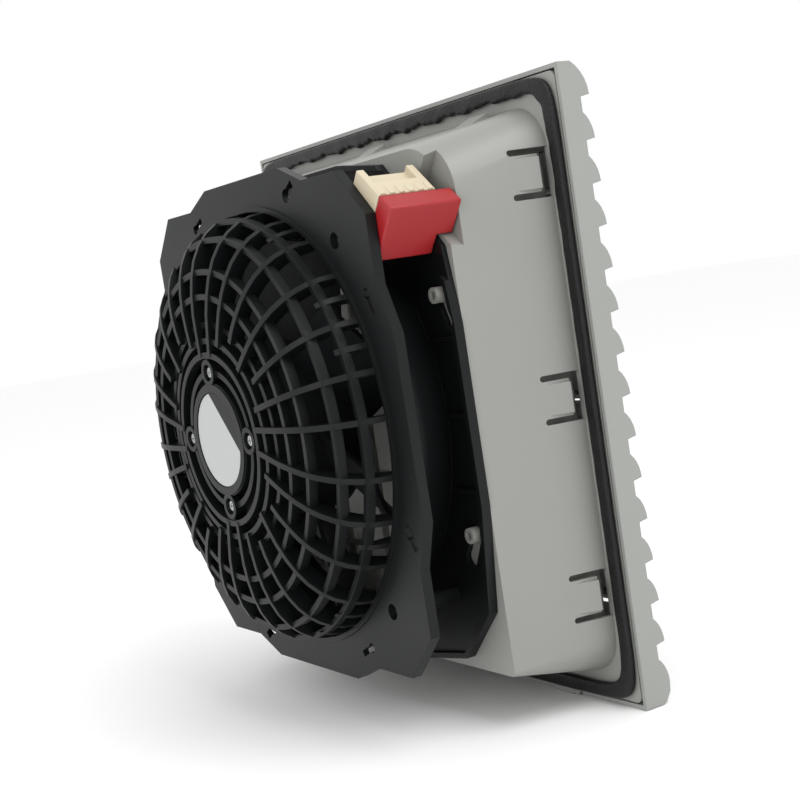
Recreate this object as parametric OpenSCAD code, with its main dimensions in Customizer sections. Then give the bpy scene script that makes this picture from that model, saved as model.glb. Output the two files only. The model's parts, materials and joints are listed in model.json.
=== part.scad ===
// Cabinet filter fan. A hinged louvre cover and a foam gasket sit outside the
// panel, a snap-in housing passes through the cut-out, and a fan unit with a
// domed guard is held on the housing by a bayonet.
// Millimetres. The origin is the middle of the cut-out on the panel's outer face.
// +Z is up, -Y is outside the cabinet, +Y runs along the fan axis to the inside.

/* [Panel] */
// Width and height of the panel cut-out
cutout = 292; // [290:0.5:293]
// Play between the housing and the cut-out, each side
cutout_play = 0.5; // [0.3:0.1:1]

/* [Louvre cover] */
// Overlap of the cover over the cut-out's edge
cover_lap = 15.5; // [15:0.25:19]
// Louvre tips in front of the panel
cover_reach = 21.4; // [20:0.2:25]
// Wall of the cover's rim
cover_wall = 2.2; // [1.6:0.1:2.4]
// Number of louvres
louvre_count = 15; // [12:1:16]
// Tip of a louvre in front of its root
louvre_step = 5.4; // [4:0.2:6]
// Share of the pitch that the curved slat takes
louvre_share = 0.6; // [0.5:0.01:0.65]
// Thickness of a slat's inner wall
slat_t = 1.8; // [1.4:0.1:2.2]
// Height of the first louvre, from the cover's top edge to its tip
first_louvre = 16.5; // [14:0.5:18]
// Height of the last louvre's tip over the cover's bottom edge
last_louvre = 10.7; // [9:0.5:13]

/* [Housing] */
// Depth of the housing's front face behind the panel
housing_depth = 52.5; // [50:0.5:54]
// Wall of the housing
housing_wall = 2.5; // [2:0.1:3]
// Thickness of the front plate
front_t = 3; // [2.5:0.1:4]
// Draft of the walls, from the flange to the front face
draft = 12.5; // [11.5:0.5:14.5]
// Corner radius at the flange
flange_end_r = 22; // [20:1:24]
// Lower corner radius at the front face
low_r = 3; // [2:0.5:5]
// Upper corner radius at the front face
high_r = 28; // [24:1:30]
// Thickness of the flange behind the cover
flange_t = 3; // [2.4:0.1:3.5]
// Gasket thickness
gasket_t = 4; // [3.5:0.1:5]
// Gasket width
gasket_w = 7.5; // [6.5:0.5:9]

/* [Snap tongues] */
// Width of a U-shaped slot round a tongue
snap_w = 24.8; // [20:0.2:28]
// Length of a slot's arms
snap_len = 21; // [18:0.5:24]
// Width of a slot's arm
snap_arm = 3.1; // [2.4:0.1:3.4]
// Width of a slot's bar beside the flange
snap_bar = 5.8; // [4.4:0.2:6]
// Middle of the upper tongue below the housing's upper side
snap_down = 34; // [32:0.5:40]
// Middle of the lower tongue above the housing's lower side
snap_up = 44; // [38:0.5:48]

/* [Filter] */
// Thickness of the filter mat
mat_t = 16; // [14:0.5:17]
// Gap between the filter grid and the housing's wall
grid_gap = 4; // [3:0.5:6]
// Bar of the filter grid
grid_bar = 3; // [2:0.2:4]

/* [Fan unit] */
// Guard's front face behind the panel
fan_depth = 130.5; // [128:0.5:134]
// Guard plate's face behind the panel
plate_y = 93.5; // [92:0.5:96]
// Thickness of the guard plate
plate_t = 3.5; // [3:0.1:4]
// Depth of the guard plate's rim
plate_rim = 5.5; // [4.5:0.1:5.5]
// Edge of the guard plate's opening inside the ring's edge
opening_in = 8; // [7:0.5:9]
// Middle of a plate edge outside the ring's edge
plate_over = 9; // [8:0.5:10]
// Ear edge inside the ring's edge
ear_in = 0.5; // [0.5:0.25:1]
// Twist that frees the bayonet, in degrees
twist = 6; // [4:0.5:6]
// Bayonet studs inside the base flange's edge
stud_in = 12; // [11:0.5:13]
// Bayonet studs from the fan axis, up and down
stud_z = 60; // [58:0.5:62]
// Radius of a stud
stud_r = 4; // [3.5:0.1:4.4]
// Base flange's edge beyond the housing's front face
base_over = 1; // [0.5:0.5:2]
// Ring's radius at the base inside the base flange's edge
throat_in = 22; // [21:0.5:23]
// Widening of the ring up to the guard
ring_flare = 15; // [14:0.5:16]

/* [Guard] */
// Thickness of a rib
rib_t = 3; // [2.4:0.1:3.2]
// Depth of a rib
rib_h = 6.5; // [5.5:0.1:7]
// Distance of every rib's plane from the fan axis
rib_offset = 5.9; // [5:0.1:6.5]
// Width of a ring
ring_w = 3.2; // [2.6:0.1:3.6]
// Depth of a ring
ring_h = 5; // [4:0.1:5.4]
// Radius of the hub ring
hub_ring_r = 46; // [45:0.5:47]
// Radius of the hub disc
hub_r = 31; // [30:0.5:32]
// Radius of the label's seat
label_r = 25.5; // [24:0.5:26]
// Hub screws from the fan axis
hub_screw_r = 36.5; // [36:0.5:37.5]

/* [Motor and impeller] */
// Radius of the rotor can
can_r = 46; // [44:0.5:46]
// Thickness of the rotor cage
cage_t = 9; // [8:0.5:10]
// Air gap between stator and rotor
air_gap = 0.4; // [0.35:0.05:0.6]
// Radius of the shaft
shaft_r = 4; // [3.5:0.1:4.2]
// Outer radius of a bearing
bearing_r = 11; // [10.5:0.1:11.5]
// Width of a bearing
bearing_w = 7; // [6:0.5:8]
// Gap between the blade tips and the ring
tip_gap = 6; // [5:0.5:13]
// Number of blades
blade_count = 7; // [5:1:9]
// Thickness of a blade
blade_t = 2.6; // [2:0.1:3]

/* [Connector] */
// Length of the plug along the fan axis
plug_w = 40.5; // [39:0.5:41]
// Height of the plug's face
plug_h = 30.3; // [28:0.1:31]
// Thickness of the plug
plug_t = 11; // [10:0.1:12]
// Depth of the socket behind the plug
socket_d = 22; // [18:0.5:24]

/* [Hidden] */
$fn = 96;
eps = 0.01;
gap = 0.3;
fit_gap = 0.05;
grey = "#B9BBB6";
black = "#26282A";

// Outlines, all from the cut-out
ring_wall = 3;
cover_size = cutout + 2 * cover_lap;
body_half = cutout / 2 - cutout_play;
front_half = body_half - draft;
base_half = front_half + base_over;
throat_r = base_half - throat_in;
collar_r = throat_r + ring_flare;
opening_r = collar_r - opening_in;
plate_edge = collar_r + plate_over;
ear_edge = collar_r - ear_in;
stud_x = base_half - stud_in;
blade_r = throat_r - ring_wall - tip_gap;
snap_high = body_half - snap_down;
snap_low = body_half - snap_up;

// Louvre cover
half = cover_size / 2;
rim_y = -gasket_t;
tip_y = -cover_reach;
root_y = tip_y + louvre_step;
slat_y = root_y + slat_t;
pitch = (cover_size - first_louvre - last_louvre) / (louvre_count - 1);
slat_h = louvre_share * pitch;
lip = 1;
fin_y = 5.2;
fin_z = (1 - louvre_share) * pitch - lip - 0.3;
fin_t = 1.6;
arc_steps = 5;
arc_from = 35;
first_back = 4;
web_x = cover_size / 6;
rim_gap = 0.8;

// Flange and cover hinge, whose axis lies behind the cover's lower rim
flange_half = half - cover_wall - rim_gap;
flange_y = rim_y - flange_t;
hinge_y = rim_y + 0.8;
hinge_z = -half + 1.3;
hinge_x = 0.31 * cover_size;
knuckle_r = 1.5;
lug_w = 12;
cheek_w = 4;
cheek_x = lug_w / 2 + gap + cheek_w / 2;
pin_r = 0.75;
pin_fit = 0.03;

// Housing
inner_y = housing_depth - front_t;
duct_r = throat_r - 2;
stud_len = 7.5;
stud_hole_r = 2;
stud_radius = norm([stud_x, stud_z]);
nose_y = 3;
nose_out = cutout / 2 + 0.8;
nose_end = 14;

// Filter
grid_wall = 2;
grid_y = flange_y + mat_t + 0.5;
grid_half = wall_half(grid_y + grid_bar) - housing_wall - grid_gap;
grid_cells = 6;
grid_r = 18;
grid_cell = 2 * grid_half / grid_cells;
pillar_r = 4;
mat_play = 0.5;

// Fan unit
frame_y = housing_depth + gap;
frame_t = 2.7;
base_rim = 3;
base_top = frame_y + 5.2;
base_flat = 45;
base_corner = [base_half - 34, base_half - 7.5];
base_ribs = [-38, 0, 38];
base_sum = base_corner[0] + base_corner[1];
plug_sum = base_sum - 14.5;
plate_back = plate_y - plate_t;
skirt_y = plate_y - plate_rim;
throat_y = frame_y + frame_t;
collar_y = plate_back - 6;
post_r = 4.5;
screw_xz = (collar_r + post_r + 0.7) / sqrt(2);
cup_r = 5;
cup_bore_r = 4.2;
cup_h = 7;
cup_floor = 1.5;
screw_r = 1.9;
main_half = 0.359 * collar_r;
step_half = 0.546 * collar_r;
ear_half = 0.8126 * collar_r;
skirt_t = 2.5;
// Hanging slots: place in X and Z, radius, lean of the tail and its length
hang_slots = [[-0.4 * collar_r, 0.953 * collar_r, 3.6, 32, 10],
    [0.52 * collar_r, 0.914 * collar_r, 2.6, 25, 11]];
hang_neck = 1.3;

// Guard dome
hub_y = fan_depth - 0.9;
dome_h = fan_depth - 0.5 - plate_y;
dome_r = opening_r - 0.8;
dome_n = 6;
dome_m = 1.9;
rib_proud = 1.2;
rib_steps = 10;
rib_turn = 7.25;
rib_angles = [-7.15, 7.15, 18.6, 31.5, 45, 58.5, 71.4];
short_rib_angles = [25, 51.7, 65];
nave_ring_r = 0.45 * opening_r;
ring_shares = [0.521, 0.647, 0.756, 0.891, 0.962];
ring_radii = [for (share = ring_shares) share * opening_r];
inner_ring_sink = 2.5;
boss_r = 7.2;
hub_t = 5.5;
hub_back = hub_y - hub_t;
head_r = 3.8;
head_h = 2.6;
label_t = 0.4;

// Motor
motor_y = hub_back;
motor_flange_t = 6;
tube_r = bearing_r + 3;
front_bearing_y = motor_y - motor_flange_t - 3 - bearing_w;
rear_bearing_y = front_bearing_y - 32;
core_y = rear_bearing_y + bearing_w + 1;
core_h = 22;
winding_h = 6.5;
can_room = 10.6;
can_y = rear_bearing_y - can_room;
can_end = core_y + core_h + 8;
can_t = 2.5;
can_fit = 0.15;
stator_r = can_r - can_t - fit_gap - cage_t - air_gap;
hub_wall = 3;
inner_ring_r = 6.4;
race_r = 8.9;
blade_y = can_y - can_t;
blade_h = 36;
blade_chord = 46;
blade_bow = 70;

// Connector, in its own frame: x along the pull, z down the plug's face
plug_angle = 140;
plug_top = skirt_y - 0.5;
plug_pos = [-base_half + 3.5, plug_top - plug_w / 2, base_half - 42.3];
plug_step_z = 4;
plug_step_y = frame_y + frame_t + 0.5;
pocket_y = plug_top - plug_w - 1;
pocket_z = plug_step_z + 1;
pocket_x = plug_t + stud_radius * 1.2 * sin(twist) + 2;
pin_count = 3;
pin_pitch = 9;
pin_size = [12, 1.6, 5];
contact_wall = 0.8;

// Slab between two distances along the fan axis, drawn in X and Z
module slab(y0, y1) {
    translate([0, y1, 0]) rotate([90, 0, 0]) linear_extrude(y1 - y0) children();
}

// Bar between two places across the fan, drawn in Y and Z
module across(x0, x1) {
    translate([x0, 0, 0]) rotate([90, 0, 90]) linear_extrude(x1 - x0) children();
}

// Solid of revolution about the fan axis, drawn in radius and Y
module turned() {
    rotate([-90, 0, 0]) rotate_extrude() children();
}

// Round bar along the fan axis
module rod(r, y0, y1) {
    translate([0, y0, 0]) rotate([-90, 0, 0]) cylinder(r = r, h = y1 - y0);
}

module ring(r0, r1, y0, y1) {
    turned() translate([r0, y0]) square([r1 - r0, y1 - y0]);
}

module round_square(half_w, r) {
    square([2 * half_w, 2 * (half_w - r)], center = true);
    square([2 * (half_w - r), 2 * half_w], center = true);
    for (sx = [-1, 1], sz = [-1, 1])
        translate([sx * (half_w - r), sz * (half_w - r)]) circle(r);
}

// Four copies in the corners of a square about the fan axis
module corners(x, z) {
    for (sx = [-1, 1], sz = [-1, 1]) translate([sx * x, 0, sz * z]) children();
}

// Louvre cover
function tip_z(k) = half - first_louvre - k * pitch;
function slat_top(k) = tip_z(k) + (k == 0 ? first_louvre : slat_h);

// Convex front of one slat, from its root to its tip
function slat_arc(k) = [
    for (i = [0 : arc_steps]) let (a = arc_from + (90 - arc_from) * i / arc_steps)
        let (back = k == 0 ? first_back : 0)
        [root_y + back - (louvre_step + back) * (sin(a) - sin(arc_from)) / (1 - sin(arc_from)),
         slat_top(k) - (slat_top(k) - tip_z(k)) * (cos(arc_from) - cos(a)) / cos(arc_from)]
];

// Outline of the cover from the side, with its saw teeth
function cover_outline() = concat(
    [[rim_y, -half], [rim_y, half]],
    [for (k = [0 : louvre_count - 1]) each concat(
        slat_arc(k),
        k < louvre_count - 1 ? [[root_y, tip_z(k) - lip]]
            : [[tip_y + 0.6, tip_z(k) - 5], [root_y - 2, -half + 1.2], [root_y, -half]])]
);

// Inner side of one slat's curved front
function slat_inside(k) = [
    for (i = [0 : arc_steps - 1]) let (p = slat_arc(k)[i])
        [p[0] + slat_t, min(half - cover_wall, p[1] - slat_t / 2)]
];

// Space behind the slats, with the air gaps between them
function cover_space() = concat(
    [[rim_y + 1, -half + cover_wall], [rim_y + 1, half - cover_wall]],
    slat_inside(0),
    [for (k = [0 : louvre_count - 2]) let (z = slat_top(k + 1)) each concat(
        [[slat_y, tip_z(k) + lip], [slat_y, tip_z(k) - lip], [root_y - 0.5, tip_z(k) - lip],
            [root_y - 0.5, z], [root_y, z], [root_y + fin_y, z + fin_z],
            [root_y + fin_y + fin_t, z + fin_z - fin_t / 2]],
        slat_inside(k + 1))],
    [[root_y - 1, -half + cover_wall]]
);

module louvre_cover() {
    color(grey) {
        difference() {
            across(-half, half) polygon(cover_outline());
            across(-half + cover_wall, half - cover_wall) polygon(cover_space());
            for (s = [-1, 1]) translate([s * hinge_x - lug_w / 2 - gap, rim_y - 5, -half - 1])
                cube([lug_w + 2 * gap, 10, cover_wall + 2]);
        }
        for (s = [-1, 1]) {
            translate([s * web_x - 1, slat_y - 0.5, -half + cover_wall / 2])
                cube([2, fin_y, cover_size - cover_wall - first_louvre / 2]);
            for (t = [-1, 1]) translate([s * hinge_x + t * cheek_x - cheek_w / 2, 0, 0])
                difference() {
                    across(0, cheek_w) {
                        translate([hinge_y, hinge_z]) circle(knuckle_r);
                        translate([rim_y - 2, -half + 0.1]) square([hinge_y - rim_y + 2, cover_wall - 0.3]);
                    }
                    translate([-1, hinge_y, hinge_z]) rotate([0, 90, 0])
                        cylinder(r = pin_r + pin_fit, h = cheek_w + 2);
                }
        }
    }
}

module cover_hinge_pins() {
    color("silver") for (s = [-1, 1]) translate([s * hinge_x - lug_w / 2 - cheek_w, hinge_y, hinge_z])
        rotate([0, 90, 0]) cylinder(r = pin_r, h = lug_w + 2 * cheek_w);
}

// Housing
// Half width of the drafted walls at a depth
function wall_half(y) = body_half - (body_half - front_half) * (y - rim_y) / (housing_depth - rim_y);

// Rounded, drafted box from the flange to a depth
module housing_form(inset, y0, y1) {
    hull() for (y = [y0, y1 - eps], sx = [-1, 1], sz = [-1, 1])
        let (w = wall_half(y) - inset, front_r = sz > 0 ? high_r : low_r)
        let (t = (y - rim_y) / (housing_depth - rim_y))
        let (r = max(1, flange_end_r + (front_r - flange_end_r) * t - inset))
            translate([sx * (w - r), y, sz * (w - r)])
                rotate([-90, 0, 0]) cylinder(r = r, h = eps, $fn = 32);
}

// Corner pocket that leaves room for the plug, its pull and the twist
module plug_pocket(m) {
    connector_frame() translate([-pocket_x - m, pocket_y - m - plug_pos[1], -60])
        cube([pocket_x + 60, 40, 60 + pocket_z + m]);
}

// U-shaped slot round a snap tongue, drawn in Y and Z
module snap_slot() {
    arm_z = (snap_w - snap_arm) / 2;
    for (s = [-1, 1]) {
        translate([rim_y, s * arm_z - snap_arm / 2]) square([snap_len - snap_arm / 2, snap_arm]);
        translate([rim_y + snap_len - snap_arm / 2, s * arm_z]) circle(d = snap_arm);
    }
    translate([rim_y, -snap_w / 2]) square([snap_bar, snap_w]);
}

// Nose of a tongue, which springs out behind the panel's edge
module snap_nose() {
    w = snap_w - 2 * snap_arm - 3;
    y0 = rim_y + snap_bar;
    translate([0, 0, -w / 2]) linear_extrude(w)
        polygon([[-wall_half(y0) + 1, y0], [-wall_half(y0), y0], [-nose_out, nose_y],
            [-wall_half(nose_end), nose_end], [-wall_half(nose_end) + 1, nose_end]]);
}

module each_tongue() {
    for (side = [0 : 90 : 270], c = [-snap_low, 0, snap_high])
        rotate([0, side, 0]) translate([0, 0, c]) children();
}

module housing() {
    color(grey) {
        difference() {
            union() {
                slab(flange_y, rim_y) round_square(flange_half, 4);
                difference() {
                    housing_form(0, flange_y, housing_depth);
                    plug_pocket(0);
                }
                for (s = [-1, 1]) translate([s * hinge_x - lug_w / 2, 0, 0]) across(0, lug_w) {
                    translate([flange_y, -half - 0.2]) square([flange_t, half - flange_half + 1]);
                    translate([flange_y, -half - 0.2]) square([hinge_y + knuckle_r - flange_y, 2 * knuckle_r]);
                }
            }
            difference() {
                housing_form(housing_wall, flange_y - 1, inner_y);
                plug_pocket(housing_wall);
            }
            rod(duct_r, inner_y - 1, housing_depth + 1);
            each_tongue() across(-body_half - 3, -body_half + 9) snap_slot();
            for (s = [-1, 1]) translate([s * hinge_x - lug_w, hinge_y, hinge_z]) rotate([0, 90, 0])
                cylinder(r = pin_r + pin_fit, h = 2 * lug_w);
        }
        each_tongue() snap_nose();
        // Pillars on the front plate that carry the filter grid
        for (a = [0 : 90 : 270], s = [-1, 1]) rotate([0, a, 0])
            translate([grid_half - 2 * pillar_r, 0, s * grid_cell])
                rod(pillar_r, grid_y + grid_bar, inner_y + 1);
        corners(stud_x, stud_z) difference() {
            rod(stud_r, housing_depth - 1, housing_depth + stud_len);
            rod(stud_hole_r, housing_depth + 1, housing_depth + stud_len + 1);
        }
    }
}

module gasket() {
    color("#1E1F21") slab(rim_y, 0) difference() {
        round_square(flange_half - 0.2, 5);
        round_square(flange_half - 0.2 - gasket_w, 3);
    }
}

// Tray with a grid behind the filter mat
module filter_grid() {
    color(grey) {
        slab(flange_y, grid_y + grid_bar) difference() {
            round_square(grid_half, grid_r);
            round_square(grid_half - grid_wall, grid_r - grid_wall);
        }
        slab(grid_y, grid_y + grid_bar) for (i = [1 : grid_cells - 1]) {
            translate([-grid_half + i * grid_cell, 0]) square([grid_bar, 2 * grid_half - 2], center = true);
            translate([0, -grid_half + i * grid_cell]) square([2 * grid_half - 2, grid_bar], center = true);
        }
    }
}

module filter_mat() {
    color("#E9E8E2") slab(grid_y - mat_t, grid_y)
        round_square(grid_half - grid_wall - mat_play, grid_r - grid_wall);
}

// Fan frame: base flange with bayonet slots, and the ring up to the guard
taper = (base_half - base_corner[1]) / (base_corner[0] - base_flat);
function base_point(sum, m) =
    let (x = (sum - base_half - base_flat * taper - 0.414 * m) / (1 - taper))
    [x, base_half - m - (x - base_flat) * taper];
function flip(p) = [-p[0], p[1]];
function base_side(m, left, right) = [flip(base_point(left, m)), [-base_flat, base_half - m],
    [base_flat, base_half - m], base_point(right, m)];
function turn(p, a) = [p[0] * cos(a) - p[1] * sin(a), p[0] * sin(a) + p[1] * cos(a)];
function base_outline(m, plug) = [for (k = [0 : 3])
    for (p = base_side(m, k == 0 ? plug : base_sum, k == 3 ? plug : base_sum)) turn(p, -90 * k)];

// Slots that let the studs pass as the fan unit turns
module bayonet_slots() {
    r = stud_r + 0.5;
    run = stud_radius * sin(twist / 2);
    for (sx = [-1, 1], sz = [-1, 1]) let (a0 = atan2(sz * stud_z, sx * stud_x)) {
        for (a = [0, -twist - 0.4]) rotate([0, a - a0 + 0.2, 0]) translate([stud_radius, 0, 0])
            rod(r, frame_y - 1, base_top + 1);
        rotate([0, -a0 - twist / 2, 0]) translate([stud_radius - r + 0.2, frame_y - 1, -run])
            cube([2 * r - 0.5, base_top - frame_y + 2, 2 * run]);
    }
}

module fan_frame() {
    color(black) difference() {
        union() {
            difference() {
                slab(frame_y, base_top) polygon(base_outline(0, plug_sum));
                slab(frame_y + frame_t, base_top + 1) polygon(base_outline(base_rim, plug_sum + 16));
                rod(throat_r - ring_wall / 2, frame_y - 1, base_top + 1);
            }
            turned() polygon([[throat_r - ring_wall, frame_y + 0.3], [throat_r, frame_y + 0.3],
                [throat_r, throat_y], [collar_r, collar_y], [collar_r, plate_back],
                [collar_r - ring_wall, plate_back], [collar_r - ring_wall, collar_y],
                [throat_r - ring_wall, throat_y + 1]]);
            // Ribs between the ring and the rim
            for (a = [0 : 90 : 270], t = base_ribs) rotate([0, a, 0])
                translate([throat_r - ring_wall / 2, frame_y + 1, t - 1])
                    cube([base_half - throat_r, base_top - frame_y - 1.4, 2]);
            corners(screw_xz, screw_xz) rod(post_r, frame_y + 1, plate_y - cup_h);
        }
        corners(screw_xz, screw_xz) rod(screw_r, plate_y - cup_h - 12, plate_y);
        bayonet_slots();
        // Notch in the rim where the plug's step passes as it is pulled
        connector_frame() translate([-plug_t - 3, frame_y + frame_t - plug_pos[1], plug_step_z])
            cube([plug_t + 50, base_top, plug_h / 2]);
    }
}

// Guard: plate, dome rings, ribs and hub
function plate_half(m) = [[main_half - 0.2 * m, plate_edge - m], [step_half - 0.2 * m, ear_edge - m],
    [ear_half - 0.41 * m, ear_edge - m]];
function plate_side(m) = concat([for (i = [2 : -1 : 0]) flip(plate_half(m)[i])], plate_half(m));
function plate_outline(m) = [for (a = [0, -90, -180, -270]) for (p = plate_side(m)) turn(p, a)];

// Front of the dome at a distance from the axis
function dome_y(r) = plate_y + dome_h * pow(max(0, 1 - pow(r / dome_r, dome_n)), 1 / dome_m);

// Rib in the plane at rib_offset from the axis, from a radius out to the opening
module rib(r0) {
    function along(r) = sqrt(r * r - rib_offset * rib_offset);
    k = (dome_r - rib_h + 1.5) / dome_r;
    steps = [for (i = [0 : rib_steps]) r0 + (dome_r - r0) * sin(90 * i / rib_steps)];
    front = [for (r = steps) [along(r), min(fan_depth, dome_y(r) + rib_proud)]];
    back = [for (i = [rib_steps : -1 : 0]) [along(max(r0, k * steps[i])),
        max(plate_back + 0.7, dome_y(steps[i]) - rib_h)]];
    foot = [[along(opening_r + 1), plate_y + 0.8], [along(opening_r + 1), plate_back + 0.7]];
    translate([0, 0, -rib_offset - rib_t / 2]) linear_extrude(rib_t) polygon(concat(front, foot, back));
}

// Teardrop slots where the unit can be hung the other way round
module plate_slots() {
    for (a = [0 : 90 : 270], hang = hang_slots) let (r = hang[2], w = hang_neck * hang[2])
        rotate([0, a, 0]) translate([hang[0], skirt_y - 1, hang[1]]) rotate([-90, 0, 0]) {
            cylinder(r = r, h = plate_rim + 2);
            rotate([0, 0, hang[3]]) translate([-hang[4], -w / 2, 0]) cube([hang[4], w, plate_rim + 2]);
        }
}

module guard() {
    color(black) {
        difference() {
            union() {
                difference() {
                    slab(skirt_y, plate_y) polygon(plate_outline(0));
                    slab(skirt_y - 1, plate_back) polygon(plate_outline(skirt_t));
                    rod(opening_r, skirt_y - 1, plate_y + 1);
                }
                corners(screw_xz, screw_xz) rod(cup_r, plate_y - cup_h, plate_y - 0.5);
            }
            corners(screw_xz, screw_xz) {
                rod(cup_bore_r, plate_y - cup_h + cup_floor, plate_y + 1);
                rod(screw_r + 0.3, plate_y - cup_h - 1, plate_y);
            }
            plate_slots();
        }
        ring(opening_r - 1, opening_r + 2, plate_back + 0.4, plate_y + 1.2);
        ring(nave_ring_r - ring_w / 2, nave_ring_r + ring_w / 2, hub_y - ring_h - 0.6, hub_y - 0.6);
        for (r = ring_radii) let (y = dome_y(r) - (r == ring_radii[0] ? inner_ring_sink : 0))
            ring(r - ring_w / 2, r + ring_w / 2, y - ring_h, y);
        for (boss = [0 : 90 : 270]) rotate([0, boss - rib_turn, 0]) {
            for (i = [0 : len(rib_angles) - 1]) rotate([0, -rib_angles[i], 0])
                rib(i < 2 ? hub_ring_r - 0.7 : (i % 2 == 0 ? nave_ring_r : ring_radii[0]) - 0.7);
            for (a = short_rib_angles) rotate([0, -a, 0]) rib(ring_radii[4] - 0.7);
        }
        guard_hub();
    }
}

module guard_hub() {
    difference() {
        union() {
            rod(hub_r, hub_back, hub_y);
            ring(label_r + 0.5, hub_r - 0.7, hub_y - 1, fan_depth);
            ring(hub_ring_r - ring_w / 2, hub_ring_r + ring_w / 2, hub_y - ring_h + 0.3, fan_depth - 0.4);
            ring(hub_screw_r - ring_w / 2, hub_screw_r + ring_w / 2, hub_y - ring_h + 0.1, hub_y - 0.8);
            for (a = [0 : 90 : 270]) rotate([0, a, 0]) {
                translate([hub_screw_r, 0, 0]) rod(boss_r, hub_back + 0.2, fan_depth - 0.2);
                translate([hub_r - 2, hub_back + 0.4, -2]) cube([hub_ring_r - hub_r + 2, hub_t - 1, 4]);
            }
        }
        for (a = [0 : 90 : 270]) rotate([0, a, 0]) translate([hub_screw_r, 0, 0]) {
            rod(head_r + 0.8, hub_y - head_h, fan_depth + 1);
            rod(screw_r + 0.3, hub_back - 1, hub_y);
        }
    }
}

// Pan-head screw with a cross recess, its seat at y and its point towards -Y
module pan_screw(y, shank) {
    difference() {
        union() {
            rod(head_r, y, y + head_h * 0.4);
            translate([0, y + head_h * 0.4, 0]) rotate([-90, 0, 0])
                cylinder(r1 = head_r, r2 = head_r - 1.2, h = head_h * 0.4);
            rod(screw_r - fit_gap, y - shank, y + eps);
        }
        for (a = [0, 90]) rotate([0, a, 0]) translate([-1.9, y + head_h * 0.4, -0.4]) cube([3.8, head_h, 0.8]);
    }
}

module guard_screws() {
    color("silver") corners(screw_xz, screw_xz) pan_screw(plate_y - cup_h + cup_floor, 10);
}

module hub_screws() {
    color("silver") for (a = [0 : 90 : 270]) rotate([0, a, 0]) translate([hub_screw_r, 0, 0])
        pan_screw(hub_y - head_h, hub_t - head_h + motor_flange_t);
}

module hub_label() {
    color("white") rod(label_r, hub_y, hub_y + label_t);
}

// Stator flange with the bearing tube
module motor_flange() {
    y1 = motor_y;
    y0 = motor_y - motor_flange_t;
    seat = bearing_r + fit_gap;
    color("#9FA3A6") difference() {
        turned() polygon([[0, y0], [seat, y0], [seat, front_bearing_y], [bearing_r - 1.5, front_bearing_y],
            [bearing_r - 1.5, rear_bearing_y + bearing_w], [seat, rear_bearing_y + bearing_w],
            [seat, rear_bearing_y - 1], [tube_r, rear_bearing_y - 1], [tube_r, y0],
            [hub_screw_r + 5.5, y0], [hub_screw_r + 5.5, y1], [0, y1]]);
        for (a = [0 : 90 : 270]) rotate([0, a, 0]) translate([hub_screw_r, 0, 0])
            rod(screw_r, y0 - 1, y1 + 1);
    }
}

// Laminated core with twelve winding slots
module stator_core() {
    color("#6F7478") difference() {
        ring(tube_r + fit_gap, stator_r, core_y, core_y + core_h);
        for (a = [0 : 30 : 330]) rotate([0, a, 0]) {
            translate([stator_r - 9, core_y - 1, -2.6]) cube([6, core_h + 2, 5.2]);
            translate([stator_r - 4, core_y - 1, -0.9]) cube([6, core_h + 2, 1.8]);
        }
    }
}

module stator_windings() {
    r0 = tube_r + 2;
    r1 = stator_r - 2.5;
    color("#B4713D") for (y = [core_y - winding_h, core_y + core_h]) turned()
        polygon([[r0, y], [r1 - 2, y], [r1, y + 2], [r1, y + winding_h - 2], [r1 - 2, y + winding_h],
            [r0, y + winding_h]]);
}

module bearing_outer_rings() {
    color("#C9CCCE") for (y = [rear_bearing_y, front_bearing_y]) ring(race_r, bearing_r, y, y + bearing_w);
}

module bearing_inner_rings() {
    color("#C9CCCE") for (y = [rear_bearing_y, front_bearing_y])
        ring(shaft_r + fit_gap, inner_ring_r, y, y + bearing_w);
}

// Spring washer that loads the bearing next to the flange
module bearing_spring() {
    y = front_bearing_y + bearing_w;
    y1 = motor_y - motor_flange_t;
    color("#8A8F94") turned() polygon([[race_r + 0.9, y], [bearing_r - 0.1, y], [bearing_r - 0.1, y + 0.6],
        [race_r + 0.5, y1], [race_r - 0.8, y1], [race_r - 0.8, y1 - 0.5], [race_r + 0.1, y1 - 0.5]]);
}

module shaft() {
    color("#D0D3D5") rod(shaft_r, can_y + can_t, front_bearing_y + bearing_w + 2);
}

module shaft_circlip() {
    y = front_bearing_y + bearing_w;
    color("#55595C") ring(shaft_r + fit_gap, shaft_r + 1.8, y, y + 1);
}

module rotor_can() {
    color("#A8ACAE") turned() polygon([[0, can_y], [can_r, can_y], [can_r, can_end], [can_r - can_t, can_end],
        [can_r - can_t, can_y + can_t], [shaft_r + 5, can_y + can_t], [shaft_r + 5, rear_bearing_y - 1.5],
        [shaft_r + fit_gap, rear_bearing_y - 1.5], [shaft_r + fit_gap, can_y + can_t], [0, can_y + can_t]]);
}

module rotor_cage() {
    color("#7D8286") ring(stator_r + air_gap, can_r - can_t - fit_gap, core_y, core_y + core_h);
}

// Impeller hub over the can, with bowed blades clipped to an annulus
module impeller() {
    hub_or = can_r + hub_wall;
    color("#34373A") {
        turned() polygon([[0, can_y - 3], [hub_or - 6, can_y - 3], [hub_or, can_y + 3], [hub_or, can_end - 2],
            [can_r + can_fit, can_end - 2], [can_r + can_fit, can_y], [0, can_y]]);
        for (k = [0 : blade_count - 1]) rotate([0, k * 360 / blade_count, 0]) intersection() {
            ring(hub_or - 1, blade_r, blade_y, blade_y + blade_h);
            translate([hub_or - 10, blade_y, -blade_chord / 2]) cube([blade_r, blade_h, blade_chord]);
            translate([0, blade_y + blade_h / 2, 0]) rotate([38, 0, 0]) translate([0, -blade_bow + 5, 0])
                rotate([0, 90, 0]) difference() {
                    cylinder(r = blade_bow, h = blade_r + 10);
                    translate([0, 0, -1]) cylinder(r = blade_bow - blade_t, h = blade_r + 12);
                }
        }
    }
}

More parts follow.
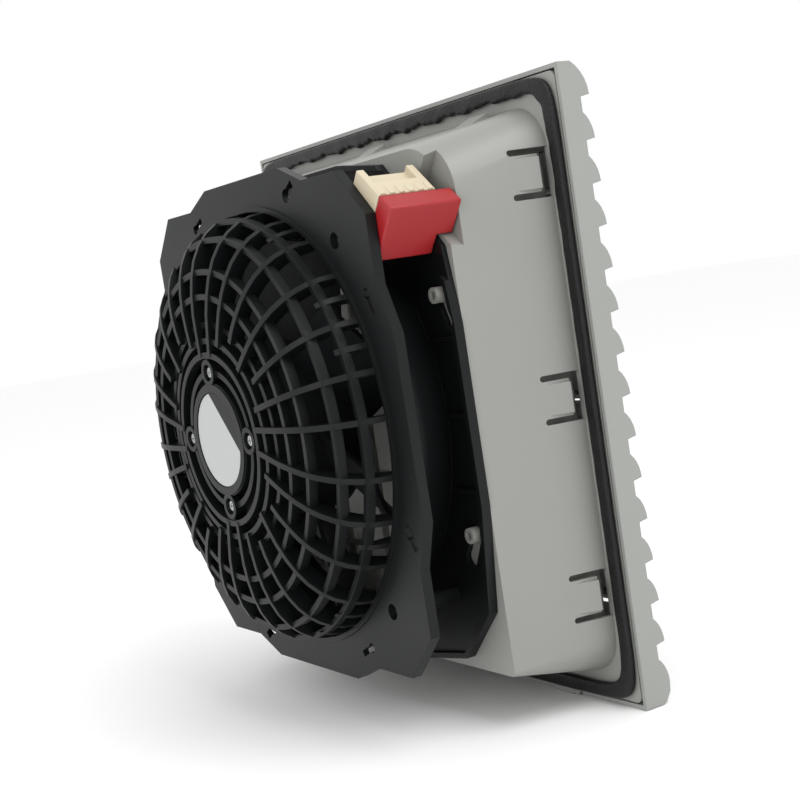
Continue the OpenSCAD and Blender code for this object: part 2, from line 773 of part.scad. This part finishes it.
// Connector
module connector_frame() {
    translate(plug_pos) rotate([0, plug_angle, 0]) children();
}

module pins(x, size) {
    for (i = [0 : pin_count - 1]) let (y = (i - (pin_count - 1) / 2) * pin_pitch)
        translate([x, y - size[1] / 2, -size[2] / 2]) cube(size);
}

module terminal_socket() {
    y0 = frame_y + frame_t - plug_pos[1];
    w = plug_top + 0.2 - frame_y - frame_t;
    color("#E8E0C8") connector_frame() difference() {
        union() {
            translate([-plug_t - socket_d, y0, -plug_h / 2]) cube([socket_d - gap, w, plug_h - 2]);
            // Castellated edge along the top
            for (i = [0 : 5]) translate([-plug_t - 6, y0 + (i + 0.2) * w / 6, -plug_h / 2 - 0.8])
                cube([6 - gap, 0.6 * w / 6, 3]);
        }
        socket_row() pins(-plug_t - 8, [20, pin_size[1] + 2 * fit_gap, pin_size[2] + 2 * fit_gap]);
        translate([-plug_t - socket_d - 1, y0 + 4, -plug_h / 2 - 2]) cube([socket_d - 10, w - 8, 6]);
    }
}

// Place of the pin row on the socket
module socket_row() {
    translate([0, 3.5, 0]) children();
}

module socket_pins() {
    color("#C9A65A") connector_frame() socket_row() pins(-plug_t - 8, pin_size);
}

module plug_cap() {
    contact = [9, pin_size[1] + 2 * contact_wall + 1.4, pin_size[2] + 2 * contact_wall + 1.4];
    color("#C8403A") connector_frame() difference() {
        translate([-plug_t, -plug_w / 2, -plug_h / 2]) cube([plug_t, plug_w, plug_h]);
        // Step that clears the base flange's rim
        translate([-plug_t - 1, -plug_w / 2 - 1, plug_step_z])
            cube([plug_t + 2, plug_step_y - plug_pos[1] + plug_w / 2 + 1, plug_h]);
        socket_row() pins(-plug_t - 1, contact);
    }
}

// Spring contacts that take the socket's pins
module plug_contacts() {
    outer = [7, pin_size[1] + 2 * contact_wall + 1.2, pin_size[2] + 2 * contact_wall + 1.2];
    inner = [9, pin_size[1] + 1.2, pin_size[2] + 1.2];
    color("#C9A65A") connector_frame() socket_row() difference() {
        pins(-plug_t + 0.9, outer);
        pins(-plug_t, inner);
    }
}

housing();
gasket();
filter_grid();
filter_mat();
louvre_cover();
fan_frame();
guard();
guard_screws();
hub_screws();
hub_label();
motor_flange();
stator_core();
stator_windings();
bearing_outer_rings();
bearing_spring();
terminal_socket();
socket_pins();
rotor_can();
rotor_cage();
shaft();
bearing_inner_rings();
shaft_circlip();
impeller();
plug_cap();
plug_contacts();
cover_hinge_pins();
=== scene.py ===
"""Looks of the cabinet filter fan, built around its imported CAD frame."""

import json
import math

import bmesh
import bpy
import numpy as np
from mathutils import Matrix, Vector

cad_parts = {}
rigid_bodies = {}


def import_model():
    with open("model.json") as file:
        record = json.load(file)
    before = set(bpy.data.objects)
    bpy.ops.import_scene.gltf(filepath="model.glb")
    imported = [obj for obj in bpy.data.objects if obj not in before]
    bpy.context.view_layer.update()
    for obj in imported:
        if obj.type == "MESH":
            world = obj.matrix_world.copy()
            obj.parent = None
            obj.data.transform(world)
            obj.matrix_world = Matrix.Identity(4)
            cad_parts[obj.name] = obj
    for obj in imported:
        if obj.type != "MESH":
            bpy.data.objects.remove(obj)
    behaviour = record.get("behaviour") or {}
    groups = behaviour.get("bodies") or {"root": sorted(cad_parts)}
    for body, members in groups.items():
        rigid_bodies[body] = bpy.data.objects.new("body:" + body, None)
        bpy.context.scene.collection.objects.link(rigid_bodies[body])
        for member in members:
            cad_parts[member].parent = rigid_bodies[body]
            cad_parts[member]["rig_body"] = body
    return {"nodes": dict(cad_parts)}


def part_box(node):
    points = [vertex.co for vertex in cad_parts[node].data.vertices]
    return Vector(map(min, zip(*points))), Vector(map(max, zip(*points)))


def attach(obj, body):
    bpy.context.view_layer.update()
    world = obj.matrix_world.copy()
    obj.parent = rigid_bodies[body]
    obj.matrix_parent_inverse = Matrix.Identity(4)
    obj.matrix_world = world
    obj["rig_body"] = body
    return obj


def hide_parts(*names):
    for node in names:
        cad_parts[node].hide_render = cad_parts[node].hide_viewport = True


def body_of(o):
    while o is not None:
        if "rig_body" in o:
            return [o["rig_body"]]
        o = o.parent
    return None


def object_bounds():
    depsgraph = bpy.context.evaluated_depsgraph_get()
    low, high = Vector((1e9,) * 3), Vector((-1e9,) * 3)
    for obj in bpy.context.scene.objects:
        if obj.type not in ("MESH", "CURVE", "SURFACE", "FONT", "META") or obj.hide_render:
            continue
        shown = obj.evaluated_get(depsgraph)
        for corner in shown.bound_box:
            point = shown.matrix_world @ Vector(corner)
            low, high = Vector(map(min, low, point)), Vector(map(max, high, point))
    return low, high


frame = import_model()
CAD_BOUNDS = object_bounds()

bl_info = {
    "name": "Cabinet filter fan",
    "version": (1, 0, 0),
    "blender": (4, 5, 0),
    "location": "View3D > Sidebar > Filter fan",
    "description": "Builds the looks of a cabinet filter fan around its CAD frame",
    "category": "Object",
}

MM = 0.001

# Texture scales, in cells a metre
DRIFT_SCALE = 22.0
PORE_SCALE = 900.0
SWELL_SCALE = 70.0
FIBRE_SCALE = 600.0

# Cleaning of copied CAD meshes: distances in metres, angle in radians
MERGE_DISTANCE = 2e-6
SLIVER_DISTANCE = 1e-6
FLAT_ANGLE = math.radians(0.4)

# Rounded corners of the connector, in metres, and the steps in each rounding
SOCKET_EDGE = 0.0004
PLUG_EDGE = 0.0008
EDGE_STEPS = 2

# Gasket strip: points along it and around its section, and how square both run
GASKET_ALONG = 1200
GASKET_AROUND = 28
PATH_POWER = 22.0
SECTION_POWER = 0.55

# Waves of the gasket's inner edge: waves round the path, share of the wave size, start angle
EDGE_WAVES = ((37, 1.0, 0.0), (91, 0.6, 1.3), (163, 0.4, 0.4))

# Waves on the gasket's crown: waves round the path and share of its height
CROWN_WAVES = 53
CROWN_DIP = 0.05

# Floor: half side and gap under the part, in metres
FLOOR_HALF = 6.0
FLOOR_GAP = 0.0002

# Soft boxes: name, place and side in metres, share of the key power
SOFT_BOXES = (
    ("key_box", (-0.9, -0.1, 1.2), 0.9, 1.0),
    ("side_box", (-0.3, 1.3, 0.5), 0.7, 0.35),
)

# Camera from a perspective fit to the photo: axes, place in metres, shift in picture widths
CAMERA_RIGHT = (-0.52447, -0.83772, -0.15217)
CAMERA_UP = (0.00873, -0.18400, 0.98289)
CAMERA_BACK = (-0.85138, 0.51417, 0.10381)
CAMERA_PLACE = (-0.7148, 0.4448, 0.0723)
CAMERA_SHIFT = (-0.0066, 0.0339)
SENSOR_WIDTH = 36.0


# Colour and shader helpers


def linear(code):
    """Turns an sRGB hex colour into linear RGBA."""
    values = np.array([int(code[i:i + 2], 16) for i in (1, 3, 5)]) / 255.0
    low, high = values / 12.92, ((values + 0.055) / 1.055) ** 2.4
    return (*np.where(values <= 0.04045, low, high), 1.0)


def add(tree, kind, links=None, **values):
    """Adds a shader node, sets its sockets and attributes, and links its inputs."""
    made = tree.nodes.new(kind)
    for key, value in values.items():
        if key in made.inputs:
            made.inputs[key].default_value = value
        else:
            setattr(made, key, value)
    for name, source in (links or {}).items():
        tree.links.new(source, made.inputs[name])
    return made


def new_material(name):
    """Makes an empty material and returns it with its tree and Object coordinates."""
    made = bpy.data.materials.new(name)
    made.use_nodes = True
    made.node_tree.nodes.clear()
    tree = made.node_tree
    return made, tree, add(tree, "ShaderNodeTexCoord").outputs["Object"]


def mixed(tree, factor, first, second):
    """Mixes two linear colours by a factor socket."""
    mix = add(tree, "ShaderNodeMix", data_type="RGBA")
    mix.inputs[6].default_value = first
    mix.inputs[7].default_value = second
    tree.links.new(factor, mix.inputs[0])
    return mix.outputs[2]


def close(tree, shader):
    """Adds the output and links the shader to it."""
    add(tree, "ShaderNodeOutputMaterial", {"Surface": shader.outputs[0]})


def moulded(name, code, settings, roughness=0.5, grain_mm=0.6, depth=0.05, tint=0.06, gloss=0.5):
    """Moulded plastic: fine grain, faint tint drift and softly rounded edges."""
    made, tree, place = new_material(name)
    grain = add(tree, "ShaderNodeTexNoise", {"Vector": place}, Scale=1.0 / (grain_mm * MM), Detail=3.0)
    drift = add(tree, "ShaderNodeTexNoise", {"Vector": place}, Scale=DRIFT_SCALE, Detail=2.0)
    base = linear(code)
    darker = tuple(c * (1.0 - tint) for c in base[:3]) + (1.0,)
    edge = add(tree, "ShaderNodeBevel", Radius=settings.edge, samples=4)
    bump = add(tree, "ShaderNodeBump", {"Height": grain.outputs["Fac"], "Normal": edge.outputs["Normal"]},
               Strength=depth, Distance=0.0002)
    rough = add(tree, "ShaderNodeMapRange", {"Value": drift.outputs["Fac"]})
    rough.inputs["To Min"].default_value = roughness - 0.05
    rough.inputs["To Max"].default_value = roughness + 0.06
    close(tree, add(tree, "ShaderNodeBsdfPrincipled",
                    {"Base Color": mixed(tree, drift.outputs["Fac"], darker, base),
                     "Roughness": rough.outputs["Result"], "Normal": bump.outputs["Normal"]},
                    **{"IOR": 1.5, "Specular IOR Level": gloss}))
    return made


def metal(name, code, roughness, streak_mm=0.4):
    """Bare or plated metal with fine drawn streaks."""
    made, tree, place = new_material(name)
    noise = add(tree, "ShaderNodeTexNoise", {"Vector": place}, Scale=1.0 / (streak_mm * MM), Detail=2.0)
    rough = add(tree, "ShaderNodeMapRange", {"Value": noise.outputs["Fac"]})
    rough.inputs["To Min"].default_value = roughness - 0.08
    rough.inputs["To Max"].default_value = roughness + 0.08
    close(tree, add(tree, "ShaderNodeBsdfPrincipled", {"Roughness": rough.outputs["Result"]},
                    **{"Base Color": linear(code), "Metallic": 1.0}))
    return made


def foam_skin(name, code):
    """Skinned polyurethane foam: pores and a soft sheen."""
    made, tree, place = new_material(name)
    pores = add(tree, "ShaderNodeTexVoronoi", {"Vector": place}, Scale=PORE_SCALE)
    waves = add(tree, "ShaderNodeTexNoise", {"Vector": place}, Scale=SWELL_SCALE, Detail=3.0)
    height = add(tree, "ShaderNodeMath", {0: pores.outputs["Distance"], 1: waves.outputs["Fac"]},
                 operation="ADD")
    bump = add(tree, "ShaderNodeBump", {"Height": height.outputs[0]}, Strength=0.35, Distance=0.0005)
    close(tree, add(tree, "ShaderNodeBsdfPrincipled", {"Normal": bump.outputs["Normal"]},
                    **{"Base Color": linear(code), "Roughness": 0.4, "Specular IOR Level": 0.3}))
    return made


def fleece(name, code):
    """Non-woven filter fleece: matted fibres."""
    made, tree, place = new_material(name)
    fibres = add(tree, "ShaderNodeTexNoise", {"Vector": place},
                 Scale=FIBRE_SCALE, Detail=6.0, Roughness=0.7)
    bump = add(tree, "ShaderNodeBump", {"Height": fibres.outputs["Fac"]}, Strength=0.8, Distance=0.001)
    base = linear(code)
    shade = tuple(c * 0.8 for c in base[:3]) + (1.0,)
    close(tree, add(tree, "ShaderNodeBsdfPrincipled",
                    {"Base Color": mixed(tree, fibres.outputs["Fac"], shade, base),
                     "Normal": bump.outputs["Normal"]},
                    **{"Roughness": 0.95, "Sheen Weight": 0.3}))
    return made


def label_film(name, settings):
    """White film with a dark chord segment at the upper side."""
    made, tree, place = new_material(name)
    axes = add(tree, "ShaderNodeSeparateXYZ", {"Vector": place})
    lean = math.radians(settings.label_turn)
    across = add(tree, "ShaderNodeMath", {0: axes.outputs["X"]}, operation="MULTIPLY")
    across.inputs[1].default_value = math.sin(lean)
    upward = add(tree, "ShaderNodeMath", {0: axes.outputs["Z"]}, operation="MULTIPLY")
    upward.inputs[1].default_value = math.cos(lean)
    height = add(tree, "ShaderNodeMath", {0: across.outputs[0], 1: upward.outputs[0]}, operation="ADD")
    dark = add(tree, "ShaderNodeMath", {0: height.outputs[0]}, operation="GREATER_THAN")
    dark.inputs[1].default_value = settings.label_chord
    close(tree, add(tree, "ShaderNodeBsdfPrincipled",
                    {"Base Color": mixed(tree, dark.outputs[0], linear("#B4B6B6"), linear("#0D0E10"))},
                    **{"Roughness": 0.4, "Specular IOR Level": 0.2}))
    return made


# Mesh helpers


def mesh_object(name, points, faces, material):
    """Makes a smooth-shaded mesh object from whole arrays."""
    data = bpy.data.meshes.new(name)
    data.from_pydata(np.asarray(points, dtype=float).tolist(), [], np.asarray(faces).tolist())
    data.validate()
    data.polygons.foreach_set("use_smooth", np.ones(len(data.polygons), dtype=bool))
    made = bpy.data.objects.new(name, data)
    bpy.context.scene.collection.objects.link(made)
    made.data.materials.append(material)
    return made


def loop_grid(rows, columns):
    """Quads of a grid that closes on itself in both directions."""
    i, j = np.meshgrid(np.arange(rows), np.arange(columns), indexing="ij")
    right, down = (i + 1) % rows, (j + 1) % columns
    corners = [i * columns + j, right * columns + j, right * columns + down, i * columns + down]
    return np.stack(corners, axis=-1).reshape(-1, 4)


def smooth_copy(node, material, settings, edge=0.0):
    """Copies a CAD node with its seams merged and its curves shaded smooth. With an edge radius,
    its flat areas are joined and the corners that stay sharp are rounded."""
    source = frame["nodes"][node].data
    work = bmesh.new()
    work.from_mesh(source)
    bmesh.ops.remove_doubles(work, verts=work.verts, dist=MERGE_DISTANCE)
    bmesh.ops.dissolve_degenerate(work, dist=SLIVER_DISTANCE, edges=work.edges)
    if edge:
        bmesh.ops.dissolve_limit(work, angle_limit=FLAT_ANGLE, verts=work.verts, edges=work.edges)
    data = bpy.data.meshes.new(node + "_skin")
    work.to_mesh(data)
    work.free()
    if "custom_normal" in data.attributes:
        data.attributes.remove(data.attributes["custom_normal"])
    data.polygons.foreach_set("use_smooth", np.ones(len(data.polygons), dtype=bool))
    data.set_sharp_from_angle(angle=settings.sharp)
    made = bpy.data.objects.new(node + "_skin", data)
    bpy.context.scene.collection.objects.link(made)
    data.materials.clear()
    data.materials.append(material)
    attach(made, body_of(frame["nodes"][node])[0])
    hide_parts(node)
    if edge:
        soft = made.modifiers.new("soft_edges", "BEVEL")
        soft.width = edge
        soft.segments = EDGE_STEPS
        soft.limit_method = "ANGLE"
        soft.angle_limit = settings.sharp
        soft.use_clamp_overlap = True
    return made


def paint(node, material):
    """Gives a CAD node its material without changing its mesh."""
    data = frame["nodes"][node].data
    data.materials.clear()
    data.materials.append(material)


class FilterFanSettings(bpy.types.PropertyGroup):
    """Sizes and looks that the operators read."""

    edge: bpy.props.FloatProperty(
        name="Edge radius", description="Rounding of moulded edges", default=0.0005, unit="LENGTH")
    sharp: bpy.props.FloatProperty(
        name="Sharp angle", description="Edges above this angle stay sharp",
        default=math.radians(32), subtype="ANGLE")
    gasket_width: bpy.props.FloatProperty(
        name="Gasket width", description="Mean width of the foamed gasket", default=0.0074, unit="LENGTH")
    gasket_wave: bpy.props.FloatProperty(
        name="Gasket wave", description="Unevenness of the foamed gasket's inner edge",
        default=0.0009, unit="LENGTH")
    label_chord: bpy.props.FloatProperty(
        name="Label chord", description="Distance of the dark segment from the hub's middle",
        default=0.014, unit="LENGTH")
    label_turn: bpy.props.FloatProperty(
        name="Label turn", description="Lean of the dark segment from the top, in degrees", default=-48.0)
    lens: bpy.props.FloatProperty(
        name="Lens", description="Focal length on a 36 mm sensor, in millimetres", default=65.1)
    key_power: bpy.props.FloatProperty(
        name="Key power", description="Power of the large soft box, in watts", default=9.0)
    backdrop: bpy.props.FloatProperty(
        name="Backdrop", description="Brightness of the surrounding studio", default=1.0)


class FILTERFAN_OT_housing(bpy.types.Operator):
    """Housing, filter grid and hinge pins in light grey plastic and steel"""

    bl_idname = "filterfan.housing"
    bl_label = "Build housing"

    def execute(self, context):
        settings = context.scene.filter_fan
        # Light grey ABS of the housing
        grey = moulded("grey_abs_housing", "#8E8F8A", settings, roughness=0.4, depth=0.05)
        smooth_copy("housing", grey, settings)
        paint("filter_grid", grey)
        # Zinc-plated hinge pins
        paint("cover_hinge_pins", metal("hinge_pin_steel", "#C4C6C8", 0.35))
        return {"FINISHED"}


class FILTERFAN_OT_cover(bpy.types.Operator):
    """Louvre cover in light grey plastic"""

    bl_idname = "filterfan.cover"
    bl_label = "Build louvre cover"

    def execute(self, context):
        settings = context.scene.filter_fan
        # Light grey ABS of the cover, a shade lighter than the housing and with a shallower grain
        grey = moulded("grey_abs_cover", "#949692", settings, roughness=0.42, depth=0.04)
        smooth_copy("louvre_cover", grey, settings)
        return {"FINISHED"}


class FILTERFAN_OT_gasket(bpy.types.Operator):
    """Foamed gasket: a rounded strip along the flange's rounded square, with an uneven inner edge"""

    bl_idname = "filterfan.gasket"
    bl_label = "Build gasket"

    def execute(self, context):
        settings = context.scene.filter_fan
        low, high = (np.array(v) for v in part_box("gasket"))
        outer, width = high[0], settings.gasket_width
        along = np.linspace(0.0, 2.0 * np.pi, GASKET_ALONG, endpoint=False)
        around = np.linspace(0.0, 2.0 * np.pi, GASKET_AROUND, endpoint=False)
        points = self.strip(along[:, None], around[None, :], outer, width, low[1], high[1],
                            settings.gasket_wave)
        # Black skinned polyurethane foam
        made = mesh_object("gasket_foam", points.reshape(-1, 3), loop_grid(len(along), len(around)),
                           foam_skin("black_pu_foam", "#0F1010"))
        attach(made, "housing")
        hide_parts("gasket")
        return {"FINISHED"}

    @staticmethod
    def strip(u, v, outer, width, back, front, wave):
        """Point of the strip: a superelliptic square of side 2*outer is scaled in to the strip's
        middle, then offset by a flattened ellipse whose width swells and shrinks along the path."""
        square = np.abs(np.cos(u)) ** PATH_POWER + np.abs(np.sin(u)) ** PATH_POWER
        reach = square ** (-1.0 / PATH_POWER)
        drift = sum(share * np.sin(count * u + start) for count, share, start in EDGE_WAVES)
        # Uneven along the top, nearly straight along the other sides
        top_share = np.clip(1.6 * np.sin(u) - 0.6, 0.04, 1.0)
        breadth = width + wave * drift * top_share
        bulge = np.sign(np.cos(v)) * np.abs(np.cos(v)) ** SECTION_POWER
        rise = np.sign(np.sin(v)) * np.abs(np.sin(v)) ** SECTION_POWER
        inset = breadth * (1.0 - bulge) / 2.0
        distance = (outer - inset) * reach
        dip = CROWN_DIP * (1 + np.sin(CROWN_WAVES * u)) * (rise > 0)
        crown = 0.5 * (front + back) + 0.5 * (front - back) * rise * (1.0 - dip)
        return np.stack([distance * np.cos(u), crown + 0 * distance, distance * np.sin(u)], axis=-1)


class FILTERFAN_OT_fan_unit(bpy.types.Operator):
    """Fan frame, guard, screws and label"""

    bl_idname = "filterfan.fan_unit"
    bl_label = "Build fan unit"

    def execute(self, context):
        settings = context.scene.filter_fan
        # Black glass-filled polyamide with a fine matt grain
        black = moulded("black_polyamide", "#0E1011", settings,
                        roughness=0.42, grain_mm=0.5, depth=0.10, gloss=0.24)
        for node in ("fan_frame", "guard"):
            smooth_copy(node, black, settings)
        # Zinc-plated screws
        zinc = metal("zinc_plated_screws", "#C9CACB", 0.3)
        for node in ("guard_screws", "hub_screws"):
            smooth_copy(node, zinc, settings)
        # White label film with a dark segment
        paint("hub_label", label_film("label_film", settings))
        return {"FINISHED"}


class FILTERFAN_OT_motor(bpy.types.Operator):
    """Motor, bearings and impeller behind the guard"""

    bl_idname = "filterfan.motor"
    bl_label = "Build motor"

    def execute(self, context):
        settings = context.scene.filter_fan
        # Black polyamide impeller
        black = moulded("impeller_polyamide", "#101214", settings, roughness=0.5, gloss=0.25)
        smooth_copy("impeller", black, settings)
        # Black lacquer on the rotor can and the motor's flange
        lacquer = moulded("black_lacquer", "#121416", settings, roughness=0.45, gloss=0.3)
        # Laminated steel, cast aluminium, bearing steel, spring steel and copper
        sheet = metal("laminated_steel", "#8A8D90", 0.45)
        cast = metal("cast_aluminium", "#B8BABC", 0.5, streak_mm=1.2)
        ground = metal("bearing_steel", "#D2D4D6", 0.2)
        spring = metal("spring_steel", "#6A6E72", 0.35)
        copper = metal("copper_wire", "#B87A4A", 0.35)
        for node, material in (("rotor_can", lacquer), ("motor_flange", lacquer), ("stator_core", sheet),
                               ("rotor_cage", cast), ("shaft", ground), ("bearing_outer_rings", ground),
                               ("bearing_inner_rings", ground), ("bearing_spring", spring),
                               ("shaft_circlip", spring), ("stator_windings", copper)):
            paint(node, material)
        return {"FINISHED"}


class FILTERFAN_OT_connector(bpy.types.Operator):
    """Cream terminal socket, red plug cap and brass contacts"""

    bl_idname = "filterfan.connector"
    bl_label = "Build connector"

    def execute(self, context):
        settings = context.scene.filter_fan
        # Cream polyamide terminal
        cream = moulded("cream_polyamide", "#CBBFA5", settings, roughness=0.45)
        smooth_copy("terminal_socket", cream, settings, SOCKET_EDGE)
        # Red satin polyamide plug
        red = moulded("red_polyamide", "#A01D22", settings, roughness=0.4, depth=0.04)
        smooth_copy("plug_cap", red, settings, PLUG_EDGE)
        # Brass pins and contacts
        brass = metal("contact_brass", "#C9A55C", 0.3)
        for node in ("socket_pins", "plug_contacts"):
            paint(node, brass)
        return {"FINISHED"}


class FILTERFAN_OT_filter_mat(bpy.types.Operator):
    """White fleece filter mat"""

    bl_idname = "filterfan.filter_mat"
    bl_label = "Build filter mat"

    def execute(self, context):
        # White non-woven fleece
        paint("filter_mat", fleece("white_fleece", "#EFEEEA"))
        return {"FINISHED"}


class FILTERFAN_OT_stage(bpy.types.Operator):
    """Floor, soft lights and the camera at the photo's place"""

    bl_idname = "filterfan.stage"
    bl_label = "Build stage"

    def execute(self, context):
        settings = context.scene.filter_fan
        self.floor()
        self.studio(context, settings)
        self.camera(context, settings)
        return {"FINISHED"}

    @staticmethod
    def floor():
        """A flat square under the part's lowest point."""
        low = CAD_BOUNDS[0][2] - FLOOR_GAP
        # Matt white floor
        made, tree, _ = new_material("pale_floor")
        close(tree, add(tree, "ShaderNodeBsdfPrincipled",
                        **{"Base Color": linear("#FBFBFB"), "Roughness": 0.9}))
        half = FLOOR_HALF
        points = [[-half, -half, low], [half, -half, low], [half, half, low], [-half, half, low]]
        mesh_object("floor", points, [[0, 1, 2, 3]], made)

    @staticmethod
    def studio(context, settings):
        """Even white surroundings with a large soft box above and a smaller one at one side."""
        world = bpy.data.worlds.new("studio")
        world.use_nodes = True
        background = world.node_tree.nodes["Background"]
        background.inputs["Color"].default_value = (1.0, 1.0, 1.0, 1.0)
        background.inputs["Strength"].default_value = settings.backdrop
        context.scene.world = world
        context.scene.view_settings.view_transform = "Standard"
        for name, place, size, share in SOFT_BOXES:
            lamp = bpy.data.lights.new(name, "AREA")
            lamp.shape = "SQUARE"
            lamp.size = size
            lamp.energy = settings.key_power * share
            made = bpy.data.objects.new(name, lamp)
            context.scene.collection.objects.link(made)
            made.location = place
            made.rotation_euler = (-Vector(place)).to_track_quat("-Z", "Y").to_euler()

    @staticmethod
    def camera(context, settings):
        """Camera from the perspective fit to the photo's corners."""
        lens = bpy.data.cameras.new("photo_camera")
        lens.sensor_width = SENSOR_WIDTH
        lens.lens = settings.lens
        lens.shift_x, lens.shift_y = CAMERA_SHIFT
        made = bpy.data.objects.new("photo_camera", lens)
        turn = Matrix((CAMERA_RIGHT, CAMERA_UP, CAMERA_BACK)).transposed().to_4x4()
        made.matrix_world = Matrix.Translation(CAMERA_PLACE) @ turn
        context.scene.collection.objects.link(made)
        context.scene.camera = made


class FILTERFAN_PT_panel(bpy.types.Panel):
    """Panel with the settings and the operators"""

    bl_label = "Filter fan"
    bl_idname = "FILTERFAN_PT_panel"
    bl_space_type = "VIEW_3D"
    bl_region_type = "UI"
    bl_category = "Filter fan"

    def draw(self, context):
        settings = context.scene.filter_fan
        for name in settings.__annotations__:
            self.layout.prop(settings, name)
        for operator in OPERATORS:
            self.layout.operator(operator.bl_idname)


OPERATORS = (
    FILTERFAN_OT_housing,
    FILTERFAN_OT_cover,
    FILTERFAN_OT_gasket,
    FILTERFAN_OT_fan_unit,
    FILTERFAN_OT_motor,
    FILTERFAN_OT_connector,
    FILTERFAN_OT_filter_mat,
    FILTERFAN_OT_stage,
)
CLASSES = (FilterFanSettings, *OPERATORS, FILTERFAN_PT_panel)


def register():
    """Registers the classes and puts the settings on the scene."""
    for cls in CLASSES:
        bpy.utils.register_class(cls)
    bpy.types.Scene.filter_fan = bpy.props.PointerProperty(type=FilterFanSettings)


def unregister():
    """Takes the settings off the scene and the classes out."""
    del bpy.types.Scene.filter_fan
    for cls in reversed(CLASSES):
        bpy.utils.unregister_class(cls)


def main():
    """Runs every operator in turn."""
    register()
    for operator in OPERATORS:
        group, name = operator.bl_idname.split(".")
        if getattr(getattr(bpy.ops, group), name)() != {"FINISHED"}:
            raise RuntimeError(operator.bl_idname + " did not finish")


if __name__ == "__main__":
    main()
